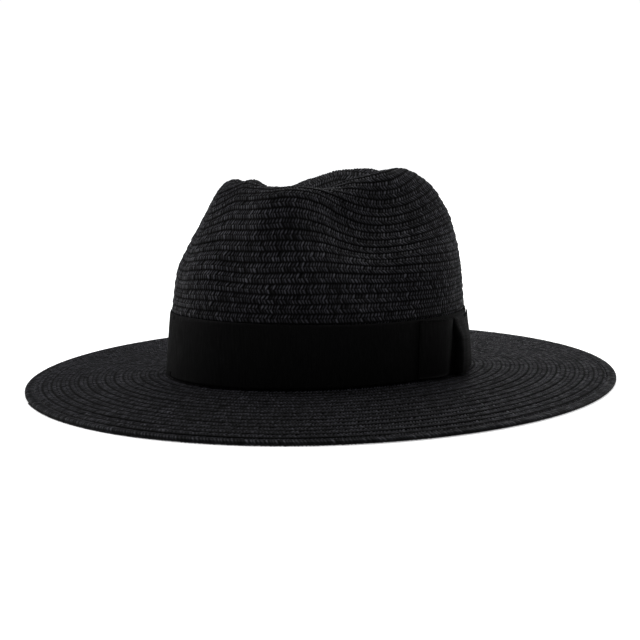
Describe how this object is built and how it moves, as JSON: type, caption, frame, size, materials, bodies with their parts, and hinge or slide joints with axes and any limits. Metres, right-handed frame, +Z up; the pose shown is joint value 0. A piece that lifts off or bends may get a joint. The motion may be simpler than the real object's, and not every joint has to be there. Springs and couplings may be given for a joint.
{
  "type": "straw sun hat",
  "caption": "Black braided-straw sun hat with a pinched teardrop crown, a wide level brim, and a ribbed ribbon tied in a flat side bow.",
  "frame": {"origin": "centre of the hat's footprint, on the surface that its brim edge rests on", "axes": "+Z up through the crown, -Y towards the face of the wearer, +X towards the wearer's left side, where the bow is"},
  "size_m": [0.3472, 0.3862, 0.1343],
  "materials": {
    "straw": "woven paper-straw braid, low sheen",
    "ribbon": "grosgrain ribbon, matt with ribs",
    "sweat_tape": "woven cotton tape",
    "thread": "polyester sewing thread",
    "wire": "drawn spring wire",
    "sleeve": "crimped tube"
  },
  "bodies": {
    "root": {"crown_side_rows": "straw", "crown_top_rows": "straw", "crown_tip_coil": "straw", "brim_braid": "straw", "brim_edge_row": "straw", "brim_wire": "wire", "wire_sleeve": "sleeve", "hat_band": "ribbon", "band_end": "ribbon", "bow_front_loop": "ribbon", "bow_rear_loop": "ribbon", "bow_knot": "ribbon", "sweatband": "sweat_tape", "sweatband_lap": "sweat_tape", "sweatband_stitches": "thread", "band_tacks": "thread", "bow_tacks": "thread"}
  },
  "joints": []
}
